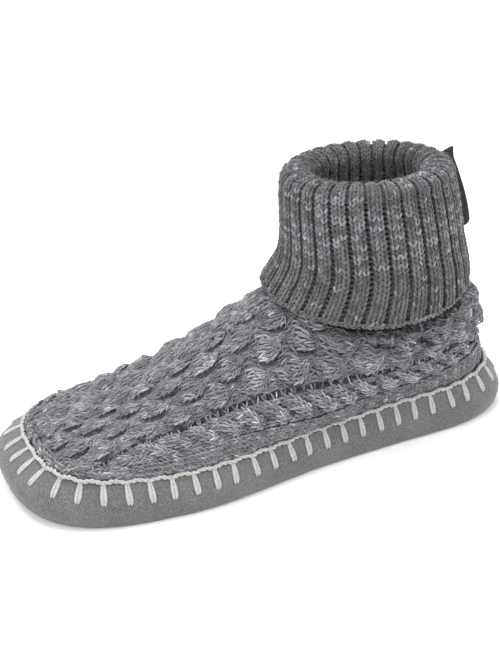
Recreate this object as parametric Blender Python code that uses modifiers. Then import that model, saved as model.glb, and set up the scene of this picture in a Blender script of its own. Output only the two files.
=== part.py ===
"""A slipper sock: a cable-knit foot on a suede cup sole, with a ribbed cuff turned down at the ankle.

The pieces are the ones that a maker puts together: a suede cup sole, an insole laid in it, a knitted foot
that stands inside the cup's wall, a ribbed cuff linked on at the ankle and turned down, and a woven tab.
Frame: +X to the toe, +Y to the wearer's left, +Z up. The origin is on the floor, under the middle of the sole.
Sizes are in millimetres and become metres where a vertex is placed. A station is a distance from the heel's back.
"""

import math

import bmesh
import bpy
import numpy as np

MM = 0.001
GAP = 0.35  # clearance between touching pieces

# Sole: plan, cup wall and floor
LENGTH = 250.0
SOLE_PLAN = {  # half-widths of the widest outline, before the ends are rounded off
    "station": [0.0, 46.0, 110.0, 181.0, 250.0],
    "half_width": [31.0, 32.0, 37.7, 50.0, 48.5],
}
TOE_ROUND, TOE_POWER = 60.0, 2.75
HEEL_ROUND, HEEL_POWER = 46.0, 2.2
WALL_LINE = {  # the cup's upper edge: its height and how far it leans in from the widest outline
    "station": [0.0, 45.0, 120.0, 180.0, 225.0, 250.0],
    "height": [23.5, 21.0, 19.2, 19.0, 20.0, 20.5],
    "lean": [8.5, 5.5, 5.0, 5.5, 9.0, 13.0],
}
WIDEST_HEIGHT = 9.0
WALL_CURVE = 1.6  # how late the wall turns inwards on its way up
SOLE_EDGE = {"inset": [5.0, 2.2, 0.6], "height": [0.0, 1.2, 4.6]}  # the rounded bottom edge
TOE_SPRING, TOE_SPRING_START = 1.6, 222.0
TOE_SWING, TOE_SWING_START, TOE_SWING_POWER = 5.0, 120.0, 1.6  # a left foot: the toe bends to the right
MIDDLE = 1.7  # shift to the left that puts the origin under the middle of the bent outline
SUEDE = 2.2
FLOOR = 4.5
COLUMNS = 35  # from the heel's back to the toe's tip, on each side

# Insole
INSOLE_THICKNESS = 3.6
INSOLE_EDGE_ROUND = 0.8

# Knitted foot
KNIT = 3.4
KNIT_PATHS = {  # how the knit runs from the seam up to its top edge: the hem oval, then the instep's crown
    "seam_station": [0.0, 12.0, 40.0, 72.0, 88.0, 102.0, 118.0, 138.0, 160.0, 190.0, 220.0, 240.0, 250.0],
    "top": [0.0, 0.17, 0.36, 0.52, 0.64, 0.80, 1.0, 1.16, 1.35, 1.63, 1.86, 1.97, 2.0],  # 0-1 oval, 1-2 crown
    "flare": [-7.0, 6.0, 30.0, 38.0, 38.0, 38.0, 40.0, 40.0, 38.0, 32.0, 14.0, -3.0, -6.0],  # leaves outwards
    "rise": [72.0, 68.0, 58.0, 55.0, 58.0, 63.0, 64.0, 56.0, 47.0, 36.0, 24.0, 12.0, 7.0],  # leaves upwards
    "sweep": [58.0, 52.0, 34.0, 26.0, 34.0, 46.0, 60.0, 66.0, 64.0, 58.0, 40.0, 18.0, 8.0],  # arrives inwards
    "lift": [4.0, 6.0, 12.0, 12.0, 12.0, 11.0, 6.0, 2.0, 0.0, 0.0, 0.0, 1.0, 2.0],  # arrives upwards
}
HEM_OVAL = {"back": 31.5, "front": 117.5, "half_width": 35.0, "height": 71.3, "side_dip": 2.5, "front_rise": 0.7}
ANKLE_OVAL = {"back": 36.0, "front": 106.5, "half_width": 30.5, "height": 86.0}
CROWN = {  # the instep's crown, from the hem's front to the toe
    "station": [117.5, 122.0, 128.0, 138.0, 150.0, 165.0, 180.0, 195.0, 208.0, 218.0, 225.0, 228.5],
    "height": [72.0, 71.5, 70.4, 66.3, 59.2, 49.6, 41.8, 35.6, 31.6, 29.2, 27.8, 27.0],
}
TOE_TURN = 0.75  # share of the crown after which the knit arrives from the front as well as from the sides
SKIRT = [1.0, 0.5, 0.0]  # places down the cup's wall that the hidden skirt follows, from edge to widest
CABLE_ROWS = [0.0, 2.5, 6.5, 11.5, 16.5, 20.0]  # girth distances from the seam, across the side cable
CABLE_RELIEF = [0.0, 1.0, 2.1, 2.0, 0.6, 0.0]
FIELD_ROWS = 7
FIELD_RELIEF = 1.2
FULL_HALF_GIRTH = 60.0  # smaller sections, towards the toe, narrow the cable in proportion
EASING = 3  # passes that even out neighbouring paths
SMALLEST_RELIEF = 0.3  # below this share of the full girth the relief has died away

# Ribbed cuff, turned down
RIB = 3.8
RIB_COUNT = 30
RIB_RELIEF = 0.85
RIB_SHOULDER = 0.22  # half-width of a rib's crown, as a share of the pitch
LEG_SPACE = 2.8  # between the standing leg and the turned-down leg
CUFF_TABLE = {  # the turned-down leg's outer crest, from the hem's level to the roll
    "height": [66.0, 72.0, 80.0, 90.0, 104.0, 118.0, 128.0],
    "centre": [74.5, 74.2, 71.8, 70.1, 71.0, 72.7, 73.8],
    "half_length": [51.5, 50.2, 47.4, 45.0, 44.1, 42.4, 40.4],
    "half_width": [43.5, 42.8, 41.0, 39.0, 36.5, 34.0, 32.0],
}
ROLL_HEIGHT = 126.0
HEM_HEIGHT, HEM_SADDLE = 71.6, 2.4  # the hem dips at the sides
STANDING_FOOT = 86.8  # where the standing leg is linked to the knitted foot
STANDING_ROWS, ROLL_ROWS, TURNED_ROWS = 3, 4, 5

# Woven tab at the back of the cuff
TAB_TOP, TAB_BOTTOM = 130.5, 92.0
TAB_REACH, TAB_THICKNESS = 6.0, 1.5
TAB_ROWS = 6


def through(knots, values, at):
    """A smooth curve through the knots that doesn't overshoot them (monotone cubic)."""
    x, y = np.asarray(knots, float), np.asarray(values, float)
    at = np.clip(np.asarray(at, float), x[0], x[-1])
    step = np.diff(x)
    slope = np.diff(y) / step
    tangent = np.concatenate([slope[:1], (slope[:-1] + slope[1:]) / 2, slope[-1:]])
    turning = slope[:-1] * slope[1:] <= 0
    tangent[1:-1][turning] = 0
    for i, steepness in enumerate(slope):
        limit = 3 * abs(steepness)
        tangent[i : i + 2] = np.clip(tangent[i : i + 2], -limit, limit)
    i = np.clip(np.searchsorted(x, at, side="right") - 1, 0, len(step) - 1)
    t = (at - x[i]) / step[i]
    rise = t * t * (3 - 2 * t)
    return (y[i] * (1 - rise) + y[i + 1] * rise
            + step[i] * (tangent[i] * t * (1 - t) ** 2 - tangent[i + 1] * t * t * (1 - t)))


def half_width(station):
    """Half of the sole's widest outline at a station."""
    breadth = through(SOLE_PLAN["station"], SOLE_PLAN["half_width"], station)
    toe = np.clip((station - LENGTH + TOE_ROUND) / TOE_ROUND, 0, 1)
    heel = np.clip((HEEL_ROUND - station) / HEEL_ROUND, 0, 1)
    return breadth * (1 - toe**TOE_POWER) ** (1 / TOE_POWER) * (1 - heel**HEEL_POWER) ** (1 / HEEL_POWER)


def turn_at(station):
    """The outline's running angle, 0 at the heel's back and pi at the toe's tip, for a station."""
    return math.acos(1 - 2 * station / LENGTH)


def column_turns():
    """The running angles of the columns that the sole, the insole and the knitted foot share.

    One of them is where the knit's top edge passes from the hem's oval to the instep's crown."""
    turns = np.linspace(0, math.pi, COLUMNS)
    corner = turn_at(KNIT_PATHS["seam_station"][KNIT_PATHS["top"].index(1.0)])
    turns[np.argmin(abs(turns - corner))] = corner
    return turns


def outline(turn):
    """Point and outward direction of the widest outline, on the left half, at a running angle."""
    def point(angle):
        station = LENGTH / 2 * (1 - math.cos(angle))
        return np.array([station, math.copysign(float(half_width(station)), math.sin(angle))])

    nudge = 1e-3
    along = point(turn + nudge) - point(turn - nudge)
    outward = np.array([-along[1], along[0]]) / np.linalg.norm(along)
    if turn < nudge or turn > math.pi - nudge:
        outward = np.array([-1.0 if turn < nudge else 1.0, 0.0])
    return point(turn), outward


def wall_profile(turn, depth):
    """(inset, height) of five places up the cup's wall, moved in from its outer face by a depth."""
    station = outline(turn)[0][0]
    height = float(through(WALL_LINE["station"], WALL_LINE["height"], station))
    lean = float(through(WALL_LINE["station"], WALL_LINE["lean"], station))
    share = np.linspace(0, 1, 5)
    inset = lean * share**WALL_CURVE
    widest = WIDEST_HEIGHT + toe_lift(station)
    level = widest + (height - widest) * share
    across, up = np.gradient(inset), np.gradient(level)
    size = np.hypot(across, up)
    return inset + depth * up / size, level - depth * across / size


def wall_place(turn, depth, share):
    """(x, y, z) on the cup's wall, at a share of the way from its widest line to its edge."""
    inset, level = wall_profile(turn, depth)
    places = np.linspace(0, 1, 5)
    return rim_place(turn, np.interp(share, places, inset), np.interp(share, places, level))


def rim_place(turn, inset, height):
    point, outward = outline(turn)
    x, y = point - outward * inset
    on_axis = turn < 1e-6 or turn > math.pi - 1e-6
    return np.array([x - LENGTH / 2, 0.0 if on_axis else max(y, 0.0), height])


def knit_seam(turn):
    """Where the knit comes out of the cup: a little inside the cup's edge and above it."""
    inset, level = wall_profile(turn, 0.0)
    return rim_place(turn, inset[-1] + 0.75 * SUEDE + 2 * GAP, level[-1] + GAP)


def toe_lift(station):
    """How far the sole's underside is off the floor: flat, then a small spring at the toe."""
    share = max(station - TOE_SPRING_START, 0) / (LENGTH - TOE_SPRING_START)
    return TOE_SPRING * share * share


def material(name, colour, roughness):
    made = bpy.data.materials.new(name)
    made.use_nodes = True
    shader = made.node_tree.nodes["Principled BSDF"]
    shader.inputs["Base Color"].default_value = (*colour, 1.0)
    shader.inputs["Roughness"].default_value = roughness
    shader.inputs["Metallic"].default_value = 0.0
    return made


def swing(station):
    """How far the foot's middle line has bent to the right at a station."""
    share = max(station - TOE_SWING_START, 0) / (LENGTH - TOE_SWING_START)
    return TOE_SWING * share**TOE_SWING_POWER


def sheet(name, rows, finish, parts):
    """A grid over the rows of points (millimetres) on the left half, mirrored, then bent with the foot."""
    mesh = bpy.data.meshes.new(name)
    count, across = len(rows), len(rows[0])
    bm = bmesh.new()
    bmesh.ops.create_grid(bm, x_segments=across - 1, y_segments=count - 1, size=0.5)
    for vertex in bm.verts:
        column = round((vertex.co.x + 0.5) * (across - 1))
        row = round((vertex.co.y + 0.5) * (count - 1))
        vertex.co = [value * MM for value in rows[row][column]]
    bmesh.ops.remove_doubles(bm, verts=bm.verts, dist=1e-6)
    flat = [face for face in bm.faces if all(abs(vertex.co.y) < 1e-7 for vertex in face.verts)]
    bmesh.ops.delete(bm, geom=flat, context="FACES")
    bmesh.ops.mirror(bm, geom=bm.verts[:] + bm.edges[:] + bm.faces[:], axis="Y", merge_dist=1e-6)
    for vertex in bm.verts:
        vertex.co.y += (MIDDLE - swing(vertex.co.x / MM + LENGTH / 2)) * MM
    bmesh.ops.recalc_face_normals(bm, faces=bm.faces)
    bm.to_mesh(mesh)
    bm.free()
    mesh.shade_smooth()
    piece = bpy.data.objects.new(name, mesh)
    parts.objects.link(piece)
    mesh.materials.append(finish)
    return piece


def thicken(piece, thickness, offset):
    solidify = piece.modifiers.new("Wall", "SOLIDIFY")
    solidify.thickness = thickness * MM
    solidify.offset = offset
    return piece


def make_sole(parts):
    """The suede cup: floor, rounded bottom edge, and a wall that leans in to the seam line."""
    rows = []
    for turn in column_turns():
        station = outline(turn)[0][0]
        lift = toe_lift(station)
        edge = [rim_place(turn, inset, height + lift)
                for inset, height in zip(SOLE_EDGE["inset"], SOLE_EDGE["height"])]
        outside = [rim_place(turn, *place) for place in zip(*wall_profile(turn, 0.0))][::2]
        inside = [rim_place(turn, *place) for place in zip(*wall_profile(turn, SUEDE))][::-2]
        corner = rim_place(turn, SUEDE + 0.1, FLOOR + 0.6 + lift)
        floor = rim_place(turn, SUEDE + 1.2, FLOOR + lift)
        middle = [np.array([place[0], 0.0, place[2]]) for place in (edge[0], floor)]
        rows.append([middle[0], *edge, *outside, *inside, corner, floor, middle[1]])
    return sheet("sole", rows, material("suede", (0.2, 0.2, 0.19), 0.95), parts)


def make_insole(parts):
    """A flat sock-lining board that lies in the cup, inside the knitted foot's hidden skirt."""
    rows = []
    depth = SUEDE + GAP + KNIT + GAP
    for turn in column_turns():
        low = FLOOR + GAP + toe_lift(outline(turn)[0][0])
        high = low + INSOLE_THICKNESS
        edge = [rim_place(turn, depth + inset, height)
                for inset, height in ((1.5, low), (1.5, high - INSOLE_EDGE_ROUND),
                                      (1.5 + INSOLE_EDGE_ROUND, high))]
        middle = [np.array([edge[i][0], 0.0, edge[i][2]]) for i in (0, -1)]
        rows.append([middle[0], *edge, middle[1]])
    return sheet("insole", rows, material("felt", (0.16, 0.16, 0.16), 0.98), parts)


def top_edge(position):
    """The knit's visible top edge: round the hem's oval from the back to the front, then down the crown.

    Returns the point and the level direction in which the knit arrives there."""
    if position <= 1:
        angle = math.pi * (1 - position)
        across = (HEM_OVAL["front"] - HEM_OVAL["back"]) / 2
        x = HEM_OVAL["back"] + across * (1 + math.cos(angle))
        z = HEM_OVAL["height"] - HEM_OVAL["side_dip"] * math.sin(angle) ** 2
        z += HEM_OVAL["front_rise"] * math.cos(angle)
        inward = np.array([max(-math.cos(angle), 0.0), -math.sin(angle), 0.0])
        inward = np.array([0.0, -1.0, 0.0]) if position == 1 else inward / np.linalg.norm(inward)
        y = HEM_OVAL["half_width"] * math.sin(angle) if 0 < position < 1 else 0.0
        return np.array([x, y, z]), inward
    share = position - 1
    first, last = CROWN["station"][0], CROWN["station"][-1]
    x = first + (last - first) * share
    swivel = math.pi / 2 * max(share - TOE_TURN, 0.0) / (1 - TOE_TURN)
    inward = np.array([-math.sin(swivel), -math.cos(swivel), 0.0])
    return np.array([x, 0.0, float(through(CROWN["station"], CROWN["height"], x))]), inward


def ankle_edge(position):
    """The point of the ankle's oval that stands over a place on the hem's oval."""
    angle = math.pi * (1 - position)
    across = (ANKLE_OVAL["front"] - ANKLE_OVAL["back"]) / 2
    y = ANKLE_OVAL["half_width"] * math.sin(angle) if 0 < position < 1 else 0.0
    return np.array([ANKLE_OVAL["back"] + across * (1 + math.cos(angle)), y, ANKLE_OVAL["height"]])


def knit_path(turn):
    """The knit from the seam to its top edge: a dense curve that leaves flaring and arrives level."""
    knots = [turn_at(station) for station in KNIT_PATHS["seam_station"]]
    top, flare, rise, sweep, lift = (float(through(knots, KNIT_PATHS[name], turn))
                                     for name in ("top", "flare", "rise", "sweep", "lift"))
    if abs(top - 1) < 0.02:
        top = 1.0
    seam = knit_seam(turn) + [LENGTH / 2, 0.0, 0.0]
    edge, inward = top_edge(top)
    outward = np.append(outline(turn)[1], 0.0)
    leave = outward * flare + [0, 0, rise]
    arrive = inward * sweep + [0, 0, lift]
    t = np.linspace(0, 1, 80)[:, None]
    path = (seam * (1 + 2 * t) * (1 - t) ** 2 + edge * t * t * (3 - 2 * t)
            + leave * t * (1 - t) ** 2 - arrive * t * t * (1 - t))
    if turn < 1e-6 or turn > math.pi - 1e-6:
        path[:, 1] = 0.0
    return path, top


def spaced(path):
    """The path at the cable's and the field's rows, by distance along it."""
    run = np.concatenate([[0.0], np.cumsum(np.linalg.norm(np.diff(path, axis=0), axis=1))])
    scale = min(1.0, run[-1] / FULL_HALF_GIRTH)
    cable = np.array(CABLE_ROWS) * scale
    wanted = np.concatenate([cable, np.linspace(cable[-1], run[-1], FIELD_ROWS + 1)[1:]])
    return np.stack([np.interp(wanted, run, path[:, i]) for i in range(3)], axis=1), scale


def make_upper(parts):
    """The knitted foot: a hidden skirt in the cup, the visible knit, and a neck under the cuff."""
    turns = column_turns()
    paths = [knit_path(turn) for turn in turns]
    visible = [spaced(path) for path, _ in paths]
    shape = np.array([places for places, _ in visible])
    weight = np.minimum(np.arange(shape.shape[1]) / 3, 1.0)[None, :, None] / 2
    weight[:, -1] = 0.0
    for _ in range(EASING):
        shape[1:-1] += weight * ((shape[:-2] + shape[2:]) / 2 - shape[1:-1])
    outward = np.cross(np.gradient(shape, axis=1), np.gradient(shape, axis=0))
    outward /= np.linalg.norm(outward, axis=2, keepdims=True) + 1e-9
    relief = np.concatenate([CABLE_RELIEF, np.full(FIELD_ROWS, FIELD_RELIEF)])
    relief[-1] = 0.4 * FIELD_RELIEF
    rows = []
    for i, (turn, places, (_, scale), (_, top)) in enumerate(zip(turns, shape, visible, paths)):
        depth = max(scale - SMALLEST_RELIEF, 0.0) / (1 - SMALLEST_RELIEF)
        raised = places + outward[i] * (relief * depth)[:, None]
        raised[places[:, 1] == 0.0, 1] = 0.0
        raised[:, 1] = np.maximum(raised[:, 1], 0.0)
        raised[:, 0] -= LENGTH / 2
        skirt = [wall_place(turn, SUEDE + GAP, share) for share in SKIRT]
        foot = rim_place(turn, SUEDE + GAP + 0.05, FLOOR + 1.0 + toe_lift(outline(turn)[0][0]))
        neck = [raised[-1]] * 2
        if top <= 1:
            ankle = ankle_edge(top) - [LENGTH / 2, 0, 0]
            middle = raised[-1] * 0.5 + ankle * 0.5
            neck = [middle * 0.7 + np.array([ankle[0], ankle[1], middle[2]]) * 0.3, ankle]
        rows.append([foot, *skirt[::-1], *raised, *neck])
    piece = sheet("upper", rows, material("cable_knit", (0.22, 0.21, 0.22), 1.0), parts)
    return thicken(piece, KNIT, -1.0)


def rib_wave(share):
    """1 on a rib's crown, -1 in the groove, for a position counted in pitches from a crown's middle."""
    off = abs(share - round(share))
    return 1.0 if off <= RIB_SHOULDER + 1e-9 else 1.0 - 2.0 * (off - RIB_SHOULDER) / (0.5 - RIB_SHOULDER)


def cuff_ring(height, inset, angle, drop=0.0):
    """A point of the oval at a height, moved in from the turned-down leg's crest."""
    level = max(height, CUFF_TABLE["height"][0])
    centre, length, width = (float(through(CUFF_TABLE["height"], CUFF_TABLE[name], level))
                             for name in ("centre", "half_length", "half_width"))
    x = centre - LENGTH / 2 + (length - inset) * math.cos(angle)
    y = (width - inset) * math.sin(angle)
    return np.array([x, 0.0 if abs(math.sin(angle)) < 1e-9 else y, height + drop])


def make_cuff(parts):
    """The rib: a standing leg from the ankle, a roll at the top, and the leg turned down to the hem."""
    crown = RIB_RELIEF
    turned = crown + RIB / 2
    roll = (RIB + LEG_SPACE) / 2
    standing = turned + 2 * roll
    path = []
    for height in np.linspace(STANDING_FOOT, ROLL_HEIGHT, STANDING_ROWS + 1)[:-1]:
        path.append((height, standing, 0.0, -1.0, 0.0))
    for bend in np.linspace(0, math.pi, ROLL_ROWS + 1):
        path.append((ROLL_HEIGHT, turned + roll + roll * math.cos(bend), roll * math.sin(bend),
                     -math.cos(bend), math.sin(bend)))
    hem_share = np.linspace(0, 1, TURNED_ROWS + 1)[1:]
    positions = [0.0]
    for rib in range(RIB_COUNT // 2):
        positions += [rib + RIB_SHOULDER, rib + 0.5, rib + 1 - RIB_SHOULDER]
    positions.append(RIB_COUNT / 2)
    rows = []
    for position in positions:
        angle = 2 * math.pi * position / RIB_COUNT
        wave = rib_wave(position) * RIB_RELIEF
        column = [cuff_ring(height, inset - wave * out, angle, drop + wave * up)
                  for height, inset, drop, out, up in path]
        hem = HEM_HEIGHT + HEM_SADDLE * math.cos(2 * angle)
        for share in hem_share:
            column.append(cuff_ring(ROLL_HEIGHT + (hem - ROLL_HEIGHT) * share, turned - wave, angle))
        rows.append(column)
    piece = sheet("cuff", rows, material("rib_knit", (0.17, 0.17, 0.17), 1.0), parts)
    return thicken(piece, RIB, 0.0)


def make_tab(parts):
    """A folded woven tab that stands out from the cuff's back rib and follows it up to the roll."""
    rows = []
    round_over = RIB + LEG_SPACE / 2 + RIB_RELIEF
    for height in (*np.linspace(TAB_BOTTOM, ROLL_HEIGHT, TAB_ROWS), (ROLL_HEIGHT + TAB_TOP) / 2, TAB_TOP):
        over = max(height - ROLL_HEIGHT, 0.0)
        sunk = round_over - math.sqrt(round_over**2 - over**2)
        near = cuff_ring(height, sunk, math.pi)[0] - 1.5 * GAP - 0.12 * over
        far = cuff_ring(height, 0.0, math.pi)[0] - TAB_REACH
        half = TAB_THICKNESS / 2
        rows.append([np.array(place) for place in (
            (near, 0.0, height), (near, half, height), (far + half, half, height), (far, 0.0, height))])
    caps = [[np.array([place[0], 0.0, place[2]]) for place in rows[i]] for i in (0, -1)]
    return sheet("tab", [caps[0], *rows, caps[1]], material("woven_tape", (0.02, 0.02, 0.02), 0.8), parts)


def main():
    for thing in list(bpy.data.objects):
        bpy.data.objects.remove(thing)
    parts = bpy.data.collections.new("slipper_sock")
    bpy.context.scene.collection.children.link(parts)
    make_sole(parts)
    make_insole(parts)
    make_upper(parts)
    make_cuff(parts)
    make_tab(parts)


main()
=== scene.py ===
import math

import bmesh
import bpy
import numpy as np
from mathutils import Matrix, Vector


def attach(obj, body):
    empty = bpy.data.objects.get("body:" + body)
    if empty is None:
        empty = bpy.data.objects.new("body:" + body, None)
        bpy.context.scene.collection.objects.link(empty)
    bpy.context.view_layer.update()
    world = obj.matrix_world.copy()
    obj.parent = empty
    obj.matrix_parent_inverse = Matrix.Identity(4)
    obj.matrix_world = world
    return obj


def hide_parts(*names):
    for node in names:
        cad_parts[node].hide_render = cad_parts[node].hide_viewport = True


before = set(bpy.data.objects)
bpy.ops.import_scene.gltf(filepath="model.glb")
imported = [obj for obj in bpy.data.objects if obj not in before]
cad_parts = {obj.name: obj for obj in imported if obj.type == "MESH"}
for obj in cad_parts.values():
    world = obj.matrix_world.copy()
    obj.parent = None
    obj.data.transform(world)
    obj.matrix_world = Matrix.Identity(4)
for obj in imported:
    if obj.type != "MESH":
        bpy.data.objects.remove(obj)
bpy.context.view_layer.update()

# Suede cup sole: split hide about 2 mm thick, drawn over the last into a floor and a low wall that leans in
# to the seam line. The napped flesh side is outside. One row of needle holes runs a finger's breadth below
# the cut edge, and the hide is drawn in a little at each of them.
MM = 0.001
LENGTH = 250.0
SOLE_PLAN = {"station": [0.0, 46.0, 110.0, 181.0, 250.0], "half_width": [31.0, 32.0, 37.7, 50.0, 48.5]}
TOE_ROUND, TOE_POWER = 60.0, 2.75
HEEL_ROUND, HEEL_POWER = 46.0, 2.2
WALL_LINE = {
    "station": [0.0, 45.0, 120.0, 180.0, 225.0, 250.0],
    "height": [23.5, 21.0, 19.2, 19.0, 20.0, 20.5],
    "lean": [8.5, 5.5, 5.0, 5.5, 9.0, 13.0],
}
WIDEST_HEIGHT, WALL_CURVE, WALL_ROWS = 9.0, 1.6, 9
SOLE_EDGE = {"inset": [5.0, 3.4, 2.2, 1.2, 0.6, 0.15], "height": [0.0, 0.35, 1.2, 2.6, 4.6, 6.8]}
TOE_SPRING, TOE_SPRING_START = 1.6, 222.0
TOE_SWING, TOE_SWING_START, TOE_SWING_POWER = 5.0, 120.0, 1.6
MIDDLE = 1.7
SUEDE, FLOOR, GAP = 2.2, 4.5, 0.35
CUT_EDGE = [(0.25, 1.02), (1.1, 1.035), (1.95, 1.02)]  # depth into the hide, and share of the way up the wall
INNER_WALL = [(SUEDE, 1.0), (SUEDE, 0.5), (SUEDE, 0.0)]
INNER_CORNER = [(0.1, 0.6), (1.2, 0.0)]  # in from the wall's inner face, and up from the floor
HOLE_PITCH, HOLE_START, HOLE_DROP = 9.88, 6.4, 9.6  # along the edge from the heel's back, and down from it
HOLE_DENT, HOLE_REACH, FLAT_UNDER = 0.55, 2.2, 1.5


def through(knots, values, at):
    """A smooth curve through the knots that doesn't overshoot them (monotone cubic)."""
    x, y = np.asarray(knots, float), np.asarray(values, float)
    at = np.clip(np.asarray(at, float), x[0], x[-1])
    step = np.diff(x)
    slope = np.diff(y) / step
    tangent = np.concatenate([slope[:1], (slope[:-1] + slope[1:]) / 2, slope[-1:]])
    tangent[1:-1][slope[:-1] * slope[1:] <= 0] = 0
    for i, steepness in enumerate(slope):
        tangent[i : i + 2] = np.clip(tangent[i : i + 2], -3 * abs(steepness), 3 * abs(steepness))
    i = np.clip(np.searchsorted(x, at, side="right") - 1, 0, len(step) - 1)
    t = (at - x[i]) / step[i]
    rise = t * t * (3 - 2 * t)
    return (y[i] * (1 - rise) + y[i + 1] * rise
            + step[i] * (tangent[i] * t * (1 - t) ** 2 - tangent[i + 1] * t * t * (1 - t)))


def half_width(station):
    breadth = through(SOLE_PLAN["station"], SOLE_PLAN["half_width"], station)
    toe = np.clip((station - LENGTH + TOE_ROUND) / TOE_ROUND, 0, 1)
    heel = np.clip((HEEL_ROUND - station) / HEEL_ROUND, 0, 1)
    return breadth * (1 - toe**TOE_POWER) ** (1 / TOE_POWER) * (1 - heel**HEEL_POWER) ** (1 / HEEL_POWER)


def outline(turn):
    """Points and outward directions of the widest outline at running angles: 0 at the heel, pi at the toe.

    Angles past pi come back along the right side."""
    def point(angle):
        station = LENGTH / 2 * (1 - np.cos(angle))
        return np.stack([station, half_width(station) * np.where(np.sin(angle) >= 0, 1, -1)], -1)

    turn = np.asarray(turn, float)
    along = point(turn + 1e-3) - point(turn - 1e-3)
    outward = np.stack([-along[..., 1], along[..., 0]], -1)
    return point(turn), outward / np.linalg.norm(outward, axis=-1, keepdims=True)


def toe_lift(station):
    share = np.maximum(station - TOE_SPRING_START, 0) / (LENGTH - TOE_SPRING_START)
    return TOE_SPRING * share * share


def bent(points):
    """Points in station coordinates, bent with the left foot and moved into the row's frame."""
    share = np.maximum(points[..., 0] - TOE_SWING_START, 0) / (LENGTH - TOE_SWING_START)
    swing = TOE_SWING * share**TOE_SWING_POWER
    return np.stack([points[..., 0] - LENGTH / 2, points[..., 1] + MIDDLE - swing, points[..., 2]], -1)


def rim_place(turn, inset, height):
    point, outward = outline(turn)
    inset, height = (np.broadcast_to(value, np.shape(turn))[..., None] for value in (inset, height))
    return np.concatenate([point - outward * inset, height], -1)


def wall_line(station):
    """Height of the cup's edge, and how far the wall leans in there."""
    return (through(WALL_LINE["station"], WALL_LINE[name], station) for name in ("height", "lean"))


def wall_place(turn, depth, share):
    """On the cup's wall at a share of the way from its widest line to its edge, in from its outer face."""
    station = outline(turn)[0][..., 0]
    height, lean = wall_line(station)
    widest = WIDEST_HEIGHT + toe_lift(station)
    across = lean * WALL_CURVE * np.maximum(share, 1e-6) ** (WALL_CURVE - 1)
    up = height - widest
    size = np.hypot(across, up)
    return rim_place(turn, lean * share**WALL_CURVE + depth * up / size,
                     widest + up * share - depth * across / size)


def lengths(line):
    """Distance along a line of points to each of them."""
    return np.concatenate([[0.0], np.cumsum(np.linalg.norm(np.diff(line, axis=0), axis=1))])


def capped(rows):
    """Rows of a rim as one grid, with its first and last drawn in to the middle line."""
    middle = np.array([1, 0, 1])
    return np.stack([rows[0] * middle, *rows, rows[-1] * middle], 1)


def grid_mesh(places, closed=True):
    """A grid's bmesh with its vertices at places (columns, rows, 3), in millimetres, doubles merged."""
    if closed:
        places = np.concatenate([places, places[:1]])
    columns, rows = places.shape[:2]
    bm = bmesh.new()
    bmesh.ops.create_grid(bm, x_segments=columns - 1, y_segments=rows - 1, size=0.5)
    for vertex in bm.verts:
        column, row = round((vertex.co.x + 0.5) * (columns - 1)), round((vertex.co.y + 0.5) * (rows - 1))
        vertex.co = places[column, row] * MM
    bmesh.ops.remove_doubles(bm, verts=bm.verts, dist=2e-6)
    bmesh.ops.dissolve_degenerate(bm, edges=bm.edges, dist=1e-6)
    bmesh.ops.recalc_face_normals(bm, faces=bm.faces)
    return bm


def made_mesh(name, bm):
    """The mesh of a finished bmesh, which is then freed."""
    mesh = bpy.data.meshes.new(name)
    bm.to_mesh(mesh)
    bm.free()
    return mesh


def piece(name, mesh, material, slot, *nodes):
    """Links a finished mesh as a piece that rides on the slipper and stands for these solids."""
    mesh.name = name
    mesh.shade_smooth()
    mesh.materials.append(material)
    made = bpy.data.objects.new(name, mesh)
    bpy.context.scene.collection.objects.link(made)
    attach(made, "root")
    if nodes:
        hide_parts(*nodes)
    return made


def colour(text):
    """Linear colour of an sRGB hex value."""
    parts = [int(text[i : i + 2], 16) / 255 for i in (1, 3, 5)]
    return (*(c / 12.92 if c <= 0.04045 else ((c + 0.055) / 1.055) ** 2.4 for c in parts), 1.0)


def add(tree, kind, inputs=(), **settings):
    """A node with its settings, and its inputs as values or as links."""
    node = tree.nodes.new(kind)
    for name, value in settings.items():
        setattr(node, name, value)
    for name, value in dict(inputs).items():
        if isinstance(value, bpy.types.NodeSocket):
            tree.links.new(value, node.inputs[name])
        else:
            node.inputs[name].default_value = value
    return node


def finish(name, **values):
    """A new material and its shader, with the shader's own values set."""
    made = bpy.data.materials.new(name)
    made.use_nodes = True
    shader = made.node_tree.nodes["Principled BSDF"]
    for key, value in values.items():
        shader.inputs[key.replace("_", " ").title()].default_value = value
    return made, made.node_tree, shader


def coat(shader, pattern, stops, height, strength, depth, **settings):
    """Colours a surface by a pattern through (place, hex) stops, and raises it by height, depth in millimetres."""
    tree = shader.id_data
    ramp = add(tree, "ShaderNodeValToRGB", {"Fac": pattern})
    elements = ramp.color_ramp.elements
    while len(elements) < len(stops):
        elements.new(1.0)
    for element, (place, text) in zip(elements, stops):
        element.position, element.color = place, colour(text)
    bump = add(tree, "ShaderNodeBump", {"Height": height, "Strength": strength, "Distance": depth * MM}, **settings)
    tree.links.new(ramp.outputs["Color"], shader.inputs["Base Color"])
    tree.links.new(bump.outputs["Normal"], shader.inputs["Normal"])


edge_turns = np.linspace(0, 2 * math.pi, 2400)
edge_runs = lengths(bent(wall_place(edge_turns, 0.0, 1.0)))
edge_length = edge_runs[-1]
hole_count = round(edge_length / HOLE_PITCH)
hole_runs = (HOLE_START + np.arange(hole_count) * edge_length / hole_count) % edge_length
hole_turns = np.interp(hole_runs, edge_runs, edge_turns)
hole_station = outline(hole_turns)[0][:, 0]
hole_height, hole_lean = wall_line(hole_station)
hole_rise = hole_height - WIDEST_HEIGHT - toe_lift(hole_station)
hole_share = np.maximum(1 - HOLE_DROP / np.hypot(hole_rise, hole_lean), 0.0)
hole_places = bent(wall_place(hole_turns, 0.0, hole_share))

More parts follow.
